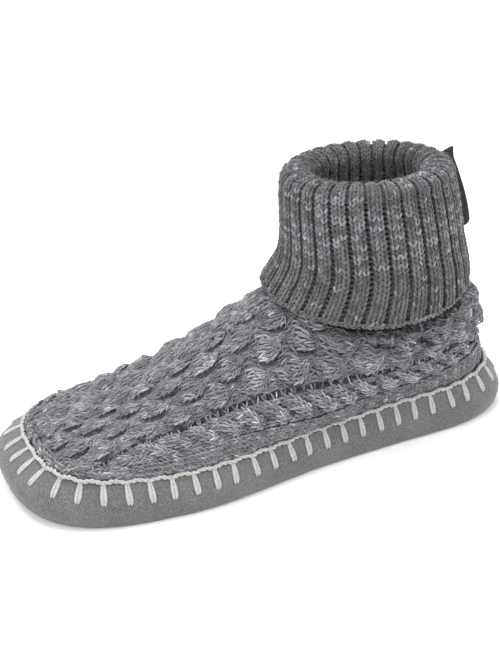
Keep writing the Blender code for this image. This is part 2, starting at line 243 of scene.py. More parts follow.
turns = np.linspace(0, 2 * math.pi, 360, endpoint=False)
lift = toe_lift(outline(turns)[0][:, 0])
rows = [rim_place(turns, inset, height + lift) for inset, height in zip(*SOLE_EDGE.values())]
rows += [wall_place(turns, 0.0, share) for share in np.linspace(0, 1, WALL_ROWS)]
rows += [wall_place(turns, depth, share) for depth, share in CUT_EDGE + INNER_WALL]
rows += [rim_place(turns, SUEDE + inset, FLOOR + up + lift) for inset, up in INNER_CORNER]
bm = grid_mesh(bent(capped(rows)))
for vertex in bm.verts:
    here = np.array(vertex.co) / MM
    far = np.linalg.norm(hole_places - here, axis=1).min()
    if here[2] > FLAT_UNDER and far < 3 * HOLE_REACH:
        vertex.co -= vertex.normal * HOLE_DENT * math.exp(-((far / HOLE_REACH) ** 2)) * MM

# Split suede, brushed: a matt surface whose short nap catches light where it stands up. The nap is drawn
# about three times as coarse as it is, so that it shows.
NAP, BRUSHED_PATCH = 0.7, 16.0
SUEDE_COLOURS = [(0.36, "#454544"), (0.5, "#5c5c5b"), (0.64, "#747472")]  # shaded, plain and raised nap
suede, tree, shader = finish("brushed_split_suede", roughness=0.95, sheen_weight=0.2, sheen_roughness=0.45)
place = add(tree, "ShaderNodeTexCoord").outputs["Object"]
nap = add(tree, "ShaderNodeTexNoise", {"Vector": place, "Scale": 1 / (NAP * MM), "Detail": 4.0, "Roughness": 0.7})
patch = add(tree, "ShaderNodeTexNoise", {"Vector": place, "Scale": 1 / (BRUSHED_PATCH * MM), "Detail": 2.0})
mixed = add(tree, "ShaderNodeMix", {"Factor": 0.15, "A": nap.outputs["Fac"], "B": patch.outputs["Fac"]})
coat(shader, mixed.outputs["Result"], SUEDE_COLOURS, nap.outputs["Fac"], 0.5, 0.35)
piece("suede_sole", made_mesh("suede_sole", bm), suede, "suede", "sole")

# Insole: needled grey wool felt, cut to the inside of the cup with a soft edge and laid in it. It is matt and
# faintly clumped, and it shows only through the collar.
KNIT, INSOLE_SIDE = 3.4, 1.5
INSOLE_EDGE = [(0.6, 0.0), (0.1, 0.5), (0.0, 1.4), (0.0, 2.4), (0.35, 3.2), (1.1, 3.6)]  # inset and height
FELT_CLUMP, FELT_COLOURS = 1.4, [(0.35, "#3f3f40"), (0.68, "#626164")]
insole_depth = SUEDE + 2 * GAP + KNIT + INSOLE_SIDE
low = FLOOR + GAP + lift
bm = grid_mesh(bent(capped([rim_place(turns, insole_depth + inset, low + up) for inset, up in INSOLE_EDGE])))
felt, tree, shader = finish("needled_wool_felt", roughness=1.0, sheen_weight=0.2)
place = add(tree, "ShaderNodeTexCoord").outputs["Object"]
clump = add(tree, "ShaderNodeTexNoise", {"Vector": place, "Scale": 1 / (FELT_CLUMP * MM), "Detail": 5.0})
coat(shader, clump.outputs["Fac"], FELT_COLOURS, clump.outputs["Fac"], 0.7, 0.5)
piece("felt_insole", made_mesh("felt_insole", bm), felt, "felt", "insole")

# Knitted foot, ground: one hollow knit of soft wool-blend yarn. Its wales run from the heel to the toe, so
# the shape is held as sections from the heel's back to the toe's tip, each from the suede up to the crown or
# to the ankle, on the left half. The raised stitches of the cables stand on this ground.
KNIT_PATHS = {  # how the knit runs from the seam up to its top edge: the hem oval, then the instep's crown
    "seam_station": [0.0, 12.0, 40.0, 72.0, 88.0, 102.0, 118.0, 138.0, 160.0, 190.0, 220.0, 240.0, 250.0],
    "top": [0.0, 0.17, 0.36, 0.52, 0.64, 0.80, 1.0, 1.16, 1.35, 1.63, 1.86, 1.97, 2.0],
    "flare": [-7.0, 6.0, 30.0, 38.0, 38.0, 38.0, 40.0, 40.0, 38.0, 32.0, 14.0, -3.0, -6.0],
    "rise": [72.0, 68.0, 58.0, 55.0, 58.0, 63.0, 64.0, 56.0, 47.0, 36.0, 24.0, 12.0, 7.0],
    "sweep": [58.0, 52.0, 34.0, 26.0, 34.0, 46.0, 60.0, 66.0, 64.0, 58.0, 40.0, 18.0, 8.0],
    "lift": [4.0, 6.0, 12.0, 12.0, 12.0, 11.0, 6.0, 2.0, 0.0, 0.0, 0.0, 1.0, 2.0],
}
HEM_OVAL = {"back": 31.5, "front": 117.5, "half_width": 35.0, "height": 71.3, "side_dip": 2.5, "front_rise": 0.7}
ANKLE_OVAL = {"back": 36.0, "front": 106.5, "half_width": 30.5, "height": 86.0}
NECK_SHARES, NECK_SAG = (0.3, 0.65, 1.0), 2.0  # from the top edge in to the ankle, under the cuff
TUCK, SKIRT_SHARES = 0.3, (0.0, 0.35, 0.7, 0.95)  # down inside the suede: the gap, and shares of its wall
CROWN = {
    "station": [117.5, 122.0, 128.0, 138.0, 150.0, 165.0, 180.0, 195.0, 208.0, 218.0, 225.0, 228.5],
    "height": [72.0, 71.5, 70.4, 66.3, 59.2, 49.6, 41.8, 35.6, 31.6, 29.2, 27.8, 27.0],
}
TOE_TURN = 0.75
COLUMNS, FINE, PLACES, MID_PLACE = 35, 4, 49, 22
EASING, EASED_FROM = 3, 11.5
TOE_SECTIONS_FROM, TOE_SECTIONS, TOE_SPREAD = 196.0, 28, 0.22


def top_edge(position):
    """The knit's top edge, round the hem's oval and then down the crown, and the way the knit arrives there."""
    if position <= 1:
        angle = math.pi * (1 - position)
        x = HEM_OVAL["back"] + (HEM_OVAL["front"] - HEM_OVAL["back"]) / 2 * (1 + math.cos(angle))
        z = HEM_OVAL["height"] - HEM_OVAL["side_dip"] * math.sin(angle) ** 2
        z += HEM_OVAL["front_rise"] * math.cos(angle)
        inward = np.array([max(-math.cos(angle), 0.0), -math.sin(angle), 0.0])
        inward = np.array([0.0, -1.0, 0.0]) if position == 1 else inward / np.linalg.norm(inward)
        y = HEM_OVAL["half_width"] * math.sin(angle) if 0 < position < 1 else 0.0
        return np.array([x, y, z]), inward
    share = position - 1
    x = CROWN["station"][0] + (CROWN["station"][-1] - CROWN["station"][0]) * share
    swivel = math.pi / 2 * max(share - TOE_TURN, 0.0) / (1 - TOE_TURN)
    inward = np.array([-math.sin(swivel), -math.cos(swivel), 0.0])
    return np.array([x, 0.0, float(through(CROWN["station"], CROWN["height"], x))]), inward


def turn_at(station):
    return math.acos(1 - 2 * station / LENGTH)


def walk(line, run, at):
    """Points of a line at distances along it; run holds the distances of its own points."""
    return np.stack([np.interp(at, run, line[:, k]) for k in range(3)], -1)


def knit_path(turn):
    """The knit from the seam to its top edge at even distances, and where on the top edge it ends."""
    knots = [turn_at(station) for station in KNIT_PATHS["seam_station"]]
    top, flare, rise, sweep, lift = (float(through(knots, KNIT_PATHS[name], turn))
                                     for name in ("top", "flare", "rise", "sweep", "lift"))
    top = 1.0 if abs(top - 1) < 0.02 else top
    edge, inward = top_edge(top)
    outward = np.append(outline(turn)[1], 0.0)
    seam = wall_place(turn, 0.0, 1.0) - outward * (0.75 * SUEDE + 2 * GAP) + [0, 0, GAP]
    leave, arrive = outward * flare + [0, 0, rise], inward * sweep + [0, 0, lift]
    t = np.linspace(0, 1, 120)[:, None]
    path = (seam * (1 + 2 * t) * (1 - t) ** 2 + edge * t * t * (3 - 2 * t)
            + leave * t * (1 - t) ** 2 - arrive * t * t * (1 - t))
    run = lengths(path)
    path = walk(path, run, np.linspace(0, run[-1], PLACES))
    if turn < 1e-6 or turn > math.pi - 1e-6:
        path[:, 1] = 0.0
    return path, top, run[-1]


def finer(grid):
    """A grid with more columns, on smooth curves through the given ones; the far side mirrors it."""
    flip = np.array([1, -1, 1])
    wide = np.concatenate([grid[1:2] * flip, grid, grid[-2:-1] * flip])
    t = np.linspace(0, len(grid) - 1, (len(grid) - 1) * FINE + 1)
    i = np.minimum(t.astype(int), len(grid) - 2)
    f = (t - i)[:, None, None]
    a, b, c, d = (wide[i + k] for k in range(4))
    made = b + f * (c - a) / 2 + f * f * (a - 2.5 * b + 2 * c - d / 2) + f**3 * (1.5 * (b - c) + (d - a) / 2)
    made[..., 1] = np.maximum(made[..., 1], 0.0)
    return made


column_turns = np.linspace(0, math.pi, COLUMNS)
corner_turn = turn_at(KNIT_PATHS["seam_station"][KNIT_PATHS["top"].index(1.0)])
corner = abs(column_turns - corner_turn).argmin()
column_turns[corner] = corner_turn
paths, tops, half_girth = (np.array(column) for column in zip(*(knit_path(turn) for turn in column_turns)))
even_places = np.linspace(0, 1, PLACES)
ease = np.minimum(even_places[None, :] * half_girth[:, None] / EASED_FROM, 1.0)[..., None] / 2
ease[:, -1] = 0.0
for _ in range(EASING):
    paths[1:-1] += ease[1:-1] * ((paths[:-2] + paths[2:]) / 2 - paths[1:-1])
last = finer(paths)  # columns from the heel to the toe, places from the seam to the top edge
first_toe = int(np.argmax(last[:, -1, 0] >= TOE_SECTIONS_FROM))

# The wales run straight on at the toe and end at the suede, so the sections there are level cuts, not spokes.
start_x, tip_x = last[first_toe, :, 0], last[-1, :, 0]
toe_cuts = []
for t in np.linspace(0, 1, TOE_SECTIONS + 1)[1:]:
    cut = np.zeros((PLACES, 3))
    cut[:, 0] = start_x + t * (tip_x - start_x)
    for j in range(PLACES):
        reach = np.maximum.accumulate(last[first_toe:, j, 0])
        cut[j, 1:] = [np.interp(cut[j, 0], reach, last[first_toe:, j, k]) for k in (1, 2)]
    toe_cuts.append(cut)
sections = np.concatenate([last[: first_toe + 1], np.array(toe_cuts)])
section_girths = np.array([lengths(line) for line in sections])
girth = section_girths[:, -1]
section = np.arange(len(sections), dtype=float)
along = lengths(sections[:, MID_PLACE])

# Across the knit, a wale is known by its place at the instep: 0 on the crown, LADDER_WALE at the ladder that
# parts the honeycomb from the side cable, and SEAM_WALE at the suede, in millimetres of the full half girth.
SEAM_WALE, LADDER_WALE = 64.0, 37.0
in_hem = section <= corner * FINE
narrow = np.minimum(girth / SEAM_WALE, 1.0)
toe_share = np.clip((section - first_toe) / TOE_SECTIONS, 0, 1)
spread = np.maximum(narrow, narrow[first_toe] * (1 + TOE_SPREAD * toe_share))
narrow = np.where(section > first_toe, spread, narrow)
full = in_hem | (girth >= SEAM_WALE)
ladder_girth = np.where(full, SEAM_WALE - LADDER_WALE, girth - LADDER_WALE * narrow)
field_girth = np.where(full, np.maximum(girth - ladder_girth, LADDER_WALE), LADDER_WALE * narrow)
band_scale = np.where(full, 1.0, narrow)


def wale_scales(at):
    """At sections: the ladder's distance up from the seam, the honeycomb's girth and the side cable's scale."""
    return (np.interp(at, section, values) for values in (ladder_girth, field_girth, band_scale))


def girth_of(wale, at):
    """Distance up from the seam of a wale, at sections."""
    ladder, field, band = wale_scales(at)
    return np.where(wale <= LADDER_WALE, ladder + (LADDER_WALE - wale) / LADDER_WALE * field,
                    ladder - (wale - LADDER_WALE) * band)


def wale_of(up, at):
    """The wale at a distance up from the seam, at sections."""
    ladder, field, band = wale_scales(at)
    return np.where(up >= ladder, LADDER_WALE - (up - ladder) * LADDER_WALE / field,
                    LADDER_WALE + (ladder - up) / band)


def unit(vectors):
    return vectors / (np.linalg.norm(vectors, axis=-1, keepdims=True) + 1e-9)


def outward_of(grid):
    return unit(np.cross(np.gradient(grid, axis=1), np.gradient(grid, axis=0)))


even_sections = np.stack([walk(line, run, even_places * run[-1]) for line, run in zip(sections, section_girths)])
even_outward = outward_of(even_sections)


def on_knit(at, up, side):
    """Points and outward directions on the plain knit, at sections and distances up from the seam."""
    share = np.clip(up / np.maximum(np.interp(at, section, girth), 1e-6), 0, 1) * (PLACES - 1)
    i, j = np.minimum(at.astype(int), len(sections) - 2), np.minimum(share.astype(int), PLACES - 2)
    f, g = (at - i)[:, None], (share - j)[:, None]
    mirror = np.ones((len(at), 3))
    mirror[:, 1] = side
    points, outward = (((grid[i, j] * (1 - f) + grid[i + 1, j] * f) * (1 - g)
                        + (grid[i, j + 1] * (1 - f) + grid[i + 1, j + 1] * f) * g) * mirror
                       for grid in (even_sections, even_outward))
    return bent(points), unit(outward)


# Relief: rows of plump scales over the instep, where strands cross to and fro and bay out towards the side; a
# ladder; a two-strand rope; and plain wales down to the suede. A few deeper hollows are listed one by one.
SCALE_PITCH, SCALE_SWAY, SCALE_LENGTH, SCALE_START = 10.57, 3.8, 18.2, 203.0
SCALE_ROWS, SCALE_WALES, SCALE_GAP = 4, 6, 0.9  # the lowest bays end SCALE_GAP short of the ladder
SCALE_RISE, SCALE_POINT, SCALE_SLOPE, SCALE_UNLIKE = 3.7, 0.4, 0.95, 0.16
LIP, POCKET, POCKET_SHARE = 0.9, 3.4, 0.28
CROWN_FLAT = {"run": [150.0, 190.0], "share": [0.4, 1.0], "wales": 32.0}  # flatter along the instep's crown
TOE_FLAT = {"run": [205.0, 240.0], "share": [1.0, 0.85]}
LADDER_MIDDLE, LADDER_HALF, LADDER_DEPTH = LADDER_WALE + 1.0, 1.8, 1.8
ROPE_WALE, ROPE_SWAY, ROPE_TURN, ROPE_HALF = 45.4, 3.0, 23.5, 3.6
ROPE_RISE, ROPE_ROUND, ROPE_BED = 0.9, 1.8, -0.3
ROPE_DEPTH = {"run": [0.0, 150.0, 200.0, 240.0], "depth": [1.9, 2.7, 1.2, 0.8]}  # flatter towards the toe
FIELD_END, ROPE_END = LADDER_WALE + 1.2, 51.6
GROOVE_WALE, GROOVE_HALF, GROOVE_DEPTH = 52.2, 1.1, 0.9
GROOVE_RUN = [50.0, 90.0]  # the groove under the rope comes in between these
PLAIN_WALE, PLAIN_HALF, PLAIN_RISE = 58.2, 6.4, 1.1
GROUND_DEPTH = 0.65  # the ground lies this far under the middle of the stitches
HEM_SINK, HEM_SOONER, HEM_SLOPE = 7.0, 2.5, 3.0
HEM_SHADE = {"run": [0.0, 20.0, 45.0, 70.0, 102.0, 112.0, 119.0], "reach": [3.5, 4.5, 6.2, 8.8, 8.8, 5.5, 0.0]}
KNIT_SINK = {  # brings the crests of the cables to the last's shape, by distance along the foot
    "run": [0.0, 60.0, 95.0, 112.0, 126.0, 140.0, 155.0, 172.0, 215.0, 240.0, 260.0],
    "depth": [1.2, 1.6, 1.0, -1.8, -1.6, 0.2, 2.2, 3.0, 3.0, 2.0, 1.0],
}
SEAM_FADE, HEEL_FADE, TOE_FADE, HEM_FADE = 7.0, 5.0, 14.0, 8.0
HOLLOWS = [  # along the foot, share of the way up, half length, half width, slant, depth
    (61.5, 0.705, 6.5, 2.8, 0.6, 7.5),
    (84.5, 0.735, 6.0, 3.0, 0.3, 7.0),
    (69.4, 0.58, 3.5, 2.5, 0.0, 2.2),
    (35.2, 0.60, 3.0, 2.6, 0.0, 2.6),
    (47.7, 0.535, 3.5, 2.6, 0.3, 0.9),
    (18.0, 0.34, 24.0, 3.8, 0.0, 4.6),
]


def scale_count(row, run):
    """Which scale of a row this is, counted towards the toe: whole at its middle. Rows lie half a scale apart."""
    return (run - SCALE_START) / SCALE_LENGTH + row / 2


def scale_edge(row, run):
    """The lower lip of a row of scales, counted up from the ladder: round bays that meet in points."""
    bay = abs(np.cos(math.pi * scale_count(row, run)))
    return LADDER_WALE - SCALE_GAP - row * SCALE_PITCH - 2 * SCALE_SWAY * (1 - bay)


def scale_vary(row, run, step):
    """No two scales are quite alike: a value from -1 to 1 that is the same all over a scale."""
    return np.sin(step * np.round(scale_count(row, run)) + 1.7 * row)


def field_rise(wale, run):
    """Each scale stands proud at its lip and sinks into a pocket under the lip of the row above."""
    rise = np.zeros(np.broadcast(wale, run).shape)
    for row in range(SCALE_ROWS):
        low, high = scale_edge(row, run), scale_edge(row + 1, run)
        share = (low - wale) / (low - high)
        middle = np.cos(math.pi * scale_count(row, run)) ** 2
        tile = SCALE_RISE * (SCALE_POINT + (1 - SCALE_POINT) * middle) * (1 - SCALE_SLOPE * share)
        tile = tile * (1 - np.exp(-np.maximum(low - wale, 0) / LIP)) * (1 + SCALE_UNLIKE * scale_vary(row, run, 2.4))
        tile = tile - POCKET * (1 - middle) ** 2 * np.exp(-(((1 - share) / POCKET_SHARE) ** 2))
        rise = np.where((share > 0) & (share <= 1), tile, rise)
    crown = np.interp(run, CROWN_FLAT["run"], CROWN_FLAT["share"]) + wale / CROWN_FLAT["wales"]
    return rise * np.clip(crown, 0, 1) * np.interp(run, TOE_FLAT["run"], TOE_FLAT["share"])


def rope_strand(strand, run):
    """One of the rope's two strands: its turn round the other, its middle wale and how far it stands out."""
    phase = 2 * math.pi * run / ROPE_TURN + strand * math.pi
    depth = np.interp(run, ROPE_DEPTH["run"], ROPE_DEPTH["depth"])
    return phase, ROPE_WALE - ROPE_SWAY * np.sin(phase), ROPE_RISE + depth * np.cos(phase)


def rope_rise(wale, run):
    best = np.full_like(wale, ROPE_BED)
    for strand in (0, 1):
        _, middle, crest = rope_strand(strand, run)
        far = abs(wale - middle) / ROPE_HALF
        best = np.maximum(best, np.where(far < 1, crest - ROPE_ROUND * far**2, ROPE_BED))
    return best


def plain_rise(wale):
    return PLAIN_RISE * (1 - ((wale - PLAIN_WALE) / PLAIN_HALF) ** 2)


def relief(wale, run):
    """How far the knit rises over its plain shape."""
    ladder = np.exp(-(((wale - LADDER_MIDDLE) / LADDER_HALF) ** 4))
    groove = np.exp(-(((wale - GROOVE_WALE) / GROOVE_HALF) ** 2)) * np.interp(run, GROOVE_RUN, [0, 1])
    rise = np.where(wale < ROPE_END, rope_rise(wale, run), plain_rise(wale))
    rise = np.where(wale < FIELD_END, field_rise(wale, run), rise)
    return rise * (1 - ladder) - LADDER_DEPTH * ladder - GROOVE_DEPTH * groove


def dents(at, run, up):
    """How deep the listed hollows are."""
    limit, sink = np.interp(at, section, girth), 0.0
    for place, share, length, width, slant, depth in HOLLOWS:
        x, y = run - place, up - share * limit
        ahead = x * math.cos(slant) + y * math.sin(slant)
        aside = y * math.cos(slant) - x * math.sin(slant)
        sink = sink + depth * np.exp(-((ahead / length) ** 2) - (aside / width) ** 2)
    return sink


def hollow(at, run, up):
    """How far the knit lies below its plain shape: all over, under the cuff's hem and in the listed hollows."""
    limit = np.interp(at, section, girth)
    sink = through(KNIT_SINK["run"], KNIT_SINK["depth"], run) * np.clip(up / SEAM_FADE, 0, 1)
    reach = np.interp(run, HEM_SHADE["run"], HEM_SHADE["reach"])  # the cuff's hem hangs over this much of it
    under = np.clip((reach + HEM_SOONER - limit + up) / HEM_SLOPE, 0, 1)
    return sink + HEM_SINK * np.clip(reach / HEM_SLOPE, 0, 1) * under + dents(at, run, up)


def settle(at, run, up):
    """The relief fades at the seam up the heel's back, at the toe's tip, at the suede and under the hem."""
    limit = np.interp(at, section, girth)
    ends = np.clip(run / HEEL_FADE, 0, 1) * np.clip((along[-1] - run) / TOE_FADE, 0, 1)
    hem = np.where(np.interp(at, section, in_hem) > 0.5, np.clip((limit - up - 1) / HEM_FADE, 0.1, 1), 1.0)
    return ends * np.clip(0.3 + up / 2, 0, 1) * hem


column = np.arange(len(last), dtype=float)[:, None] * np.ones((1, PLACES))
toe_part = np.clip((last[..., 0] - start_x) / np.maximum(tip_x - start_x, 1e-6), 0, 1)
at = np.where(column <= first_toe, column, first_toe + toe_part * TOE_SECTIONS)
place_row = np.arange(PLACES)
low_section = np.minimum(at.astype(int), len(sections) - 2)
blend = at - low_section
up = section_girths[low_section, place_row] * (1 - blend) + section_girths[low_section + 1, place_row] * blend
run = np.interp(at, section, along)
rise = relief(np.maximum(wale_of(up, at), 0.0), run) * settle(at, run, up) - hollow(at, run, up)
rise = rise - GROUND_DEPTH * np.clip(up / 4, 0.2, 1)
last_outward = outward_of(last)
visible = last + last_outward * rise[..., None]
visible[last[..., 1] == 0.0, 1] = 0.0
visible[..., 1] = np.maximum(visible[..., 1], 0.0)
fine_column = np.arange(len(last)) / FINE
fine_turns = np.interp(fine_column, np.arange(COLUMNS), column_turns)
tuck = SUEDE + GAP + TUCK
skirt = np.stack([rim_place(fine_turns, tuck, FLOOR + 1.0 + toe_lift(last[:, 0, 0]))]
                 + [wall_place(fine_turns, tuck, share) for share in SKIRT_SHARES], 1)
skirt[..., 1] = np.maximum(skirt[..., 1], 0.0)
skirt[[0, -1], :, 1] = 0.0
angle = math.pi * (1 - np.clip(np.interp(fine_column, np.arange(COLUMNS), tops), 0, 1))
ankle = np.stack([ANKLE_OVAL["back"] + (ANKLE_OVAL["front"] - ANKLE_OVAL["back"]) / 2 * (1 + np.cos(angle)),
                  ANKLE_OVAL["half_width"] * np.sin(angle), np.full_like(angle, ANKLE_OVAL["height"])], -1)
neck = np.stack([visible[:, -1] * (1 - s) + ankle * s - [0, 0, NECK_SAG * s * (1 - s)] for s in NECK_SHARES], 1)
neck[corner * FINE :] = visible[corner * FINE :, -1:, :]
half = np.concatenate([skirt, visible, neck], 1)
bm = grid_mesh(np.concatenate([bent(half), bent(half * [1, -1, 1])[-2:0:-1]]))

# The purl side of the knit, seen between the raised stitches: matt wool in small round bumps, with painted shade
# darkening the gaps between them.
PURL, GROUND_WALL = 2.1, 2.2
GROUND_BUMPS_AND_GAP_SHADE = [(0.1, "#68666b"), (0.75, "#403e43")]


def knit_ground(name, colours):
    """The material of a knit's ground; its colours run from the bumps to the darker gaps, where the darkening is
    painted shade.
    """
    made, tree, shader = finish(name, roughness=1.0)
    place = add(tree, "ShaderNodeTexCoord").outputs["Object"]
    purl = add(tree, "ShaderNodeTexVoronoi", {"Vector": place, "Scale": 1 / (PURL * MM)}).outputs["Distance"]
    coat(shader, purl, colours, purl, 0.8, 0.6, invert=True)
    return made


foot = piece("foot_ground", made_mesh("foot_ground", bm), knit_ground("wool_knit_ground", GROUND_BUMPS_AND_GAP_SHADE),
             "cable_knit", "upper")
wall = foot.modifiers.new("Knit thickness", "SOLIDIFY")
wall.thickness, wall.offset = GROUND_WALL * MM, -1.0

# Raised stitches of the foot: every stitch shows as a V of two plump legs that lie along its wale. Six wales
# make a row of scales and three a strand of the rope, and the rope has plain wales beneath it.
COURSE, WALE, EYE = 2.3, 2.8, 4.7  # a hollow deeper than EYE is an eye between the stitches
FOOT_LEG = {"lean": math.radians(16), "length": 2.2, "width": 0.21, "thickness": 0.58, "scatter": 0.12}
LEG_PLACE, LEG_TILT = 0.25, 0.15  # share of the wale that a leg stands to its side, and how much its end lifts
UNLIKE = {"size": 0.08, "reach": 0.1, "shade": 0.07}  # how much one leg differs from the next
rng = np.random.default_rng(11)
bm = bmesh.new()
bmesh.ops.create_uvsphere(bm, u_segments=5, v_segments=4, radius=1.0,
                          matrix=Matrix.Rotation(math.radians(18), 4, "Z"))
for vertex in bm.verts:  # full nearly to its ends, as yarn is that dives under the next stitch
    x, y, z = vertex.co
    if abs(z) < 0.99:
        fuller = math.sqrt(1 - z**4) / math.hypot(x, y)
        vertex.co = x * fuller, y * fuller, z
leg_mesh = made_mesh("stitch_leg", bm)


def copies(name, unit_mesh, spots, ahead, aside, above, shades, bow=0.0):
    """A mesh of many copies of a small unit shape. Its z lies along ahead, its x along aside and its y along
    above, which are half sizes in millimetres; bow sinks both ends."""
    count = len(unit_mesh.vertices)
    shape = np.zeros(count * 3)
    unit_mesh.vertices.foreach_get("co", shape)
    shape = shape.reshape(-1, 3)
    corners = np.zeros(len(unit_mesh.loops), int)
    unit_mesh.loops.foreach_get("vertex_index", corners)
    starts = np.zeros(len(unit_mesh.polygons), int)
    unit_mesh.polygons.foreach_get("loop_start", starts)
    points = (spots[:, None] + shape[None, :, 0:1] * aside[:, None]
              + (shape[None, :, 1:2] - bow * shape[None, :, 2:3] ** 2) * above[:, None]
              + shape[None, :, 2:3] * ahead[:, None]) * MM
    number = np.arange(len(spots))[:, None]
    mesh = bpy.data.meshes.new(name)
    mesh.vertices.add(points.shape[0] * count)
    mesh.vertices.foreach_set("co", points.astype(np.float32).ravel())
    mesh.loops.add(len(spots) * len(corners))
    mesh.loops.foreach_set("vertex_index", (corners[None] + number * count).astype(np.int32).ravel())
    mesh.polygons.add(len(spots) * len(starts))
    mesh.polygons.foreach_set("loop_start", (starts[None] + number * len(corners)).astype(np.int32).ravel())
    mesh.update(calc_edges=True)
    stitch = np.empty((len(spots), count, 3), np.float32)
    stitch[..., 0], stitch[..., 1], stitch[..., 2] = shape[:, 0], shape[:, 2], shades[:, None]
    mesh.attributes.new("stitch", "FLOAT_VECTOR", "POINT").data.foreach_set("vector", stitch.ravel())
    return mesh


class Legs:
    """Collects the legs of many stitches before they become one mesh."""

    def __init__(self, lean, length, width, thickness, scatter):
        self.lean, self.length, self.width, self.thickness = lean, length, width, thickness
        self.scatter, self.parts = scatter, []

    def add_wale(self, points, outward, keep, wale, shades, low=(0.0, 0.0)):
        """One wale: stitches at points, each two legs that spread along the wale's direction.

        Low sinks its legs on the one and the other side."""
        count = len(points)
        step = np.gradient(points, axis=0)
        pace = np.linalg.norm(step, axis=1, keepdims=True) + 1e-9
        ahead = step / pace
        aside = unit(np.cross(outward, ahead))
        above = np.cross(ahead, aside)
        for leg, sunk in zip((-1, 1), low):
            turn = self.lean + rng.normal(0, self.scatter, (count, 1))
            way = ahead * np.cos(turn) + leg * aside * np.sin(turn)
            across = np.cross(above, way)
            spot = points + leg * aside * wale[:, None] * LEG_PLACE + rng.normal(0, self.scatter, points.shape)
            spot = spot - above * sunk
            size = rng.normal(1, UNLIKE["size"], (count, 1))
            reach = np.clip(pace / COURSE, 0.6, 1.4) * self.length * rng.normal(1, UNLIKE["reach"], (count, 1))
            width = self.width * size * np.clip(wale, 1.5, 3.2)[:, None]
            tint = shades + rng.normal(0, UNLIKE["shade"], count)
            self.parts.append([x[keep] for x in (spot, way * reach + above * LEG_TILT, across * width,
                                                 above * self.thickness * size, tint)])

    def made(self, name, bow=0.8):
        spots, ahead, aside, above, tint = (np.concatenate(column) for column in zip(*self.parts))
        return copies(name, leg_mesh, spots, ahead, aside, above, np.clip(tint, 0, 1), bow)


# Marled wool-blend yarn: two plies of mid grey and one that runs from dark to nearly white, so that short
# light strokes lie among grey ones. Each stitch carries its place across and along the yarn and its shade.
FOOT_YARN = "#3d3b40", "#646166", "#838085", "#bbb9bd"  # dark, mid, pale and light
YARN_STOPS, YARN_FLECK, FLECK_SPREAD = (0.05, 0.4, 0.65, 0.98), 0.9, 0.4
PLY_WIND, PLY_START = 0.6, 7.0  # how far the plies turn along a leg, and how differently each leg starts


def yarn(name, colours, contrast):
    """Two-ply yarn: the plies wind round each other and one of them is paler."""
    made, tree, shader = finish(name, roughness=0.95, sheen_weight=0.2, sheen_roughness=0.6)
    place = add(tree, "ShaderNodeTexCoord").outputs["Object"]
    stitch = add(tree, "ShaderNodeAttribute", attribute_name="stitch").outputs["Vector"]
    across, length, shade = add(tree, "ShaderNodeSeparateXYZ", {"Vector": stitch}).outputs
    fleck = add(tree, "ShaderNodeTexNoise", {"Vector": place, "Scale": 1 / (YARN_FLECK * MM), "Detail": 3.0})
    fleck = fleck.outputs["Fac"]
    wind = add(tree, "ShaderNodeMath", {0: length, 1: PLY_WIND, 2: across}, operation="MULTIPLY_ADD")
    start = add(tree, "ShaderNodeMath", {0: shade, 1: PLY_START, 2: wind.outputs["Value"]}, operation="MULTIPLY_ADD")
    turn = add(tree, "ShaderNodeMath", {0: start.outputs["Value"], 1: math.pi}, operation="MULTIPLY")
    ply = add(tree, "ShaderNodeMath", {0: turn.outputs["Value"]}, operation="SINE").outputs["Value"]
    marl = add(tree, "ShaderNodeMath", {0: ply, 1: contrast, 2: shade}, operation="MULTIPLY_ADD")
    spread = add(tree, "ShaderNodeMath", {0: fleck, 1: FLECK_SPREAD, 2: -FLECK_SPREAD / 2}, operation="MULTIPLY_ADD")
    total = add(tree, "ShaderNodeMath", {0: marl.outputs["Value"], 1: spread.outputs["Value"]}, use_clamp=True)
    ridge = add(tree, "ShaderNodeMath", {0: ply}, operation="ABSOLUTE")
    fuzzy = add(tree, "ShaderNodeMath", {0: fleck, 1: ridge.outputs["Value"]})
    coat(shader, total.outputs["Value"], tuple(zip(YARN_STOPS, colours)), fuzzy.outputs["Value"], 0.6, 0.25)
    return made


wool = yarn("marled_wool_yarn", FOOT_YARN, 0.13)
FOOT_SHADE, SLOW_SHADE, PALE_SHADE, PALE_SHARE = 0.44, 0.07, 0.15, 0.12
LONG_WAVE, SHORT_WAVE = 5.5, 2.3  # millimetres of yarn over which its shade changes
course_run = np.arange(1.6, along[-1] - 1.0, COURSE)
course_at = np.interp(course_run, along, section)
course_phase = rng.uniform(0, 2 * math.pi, (len(course_run), 2))


def foot_shade(wale):
    """The marled ply changes slowly along each course, so stitches side by side have like shades."""
    slow = np.sin(wale / LONG_WAVE + course_phase[:, 0]) + 0.8 * np.sin(wale / SHORT_WAVE + course_phase[:, 1])
    pale = rng.uniform(size=len(course_run)) < PALE_SHARE + 0.1 * slow
    return FOOT_SHADE + SLOW_SHADE * slow + rng.normal(0, 0.04, len(course_run)) + PALE_SHADE * pale


def foot_wale(legs, wale, side, rise, keep, width, paler=0.0):
    """Lays one wale of the foot over its relief."""
    up = girth_of(wale, course_at)
    limit = np.interp(course_at, section, girth)
    points, outward = on_knit(course_at, up, side)
    lift = rise * settle(course_at, course_run, up) - hollow(course_at, course_run, up)
    points = points + outward * lift[:, None]
    clear = np.interp(course_run, HEM_SHADE["run"], HEM_SHADE["reach"])
    shown = keep & (up > 0.5) & (up < limit - clear + 0.5) & (dents(course_at, course_run, up) < EYE)
    if shown.sum() > 3:
        legs.add_wale(points, outward, shown, width, foot_shade(wale * side) + paler)


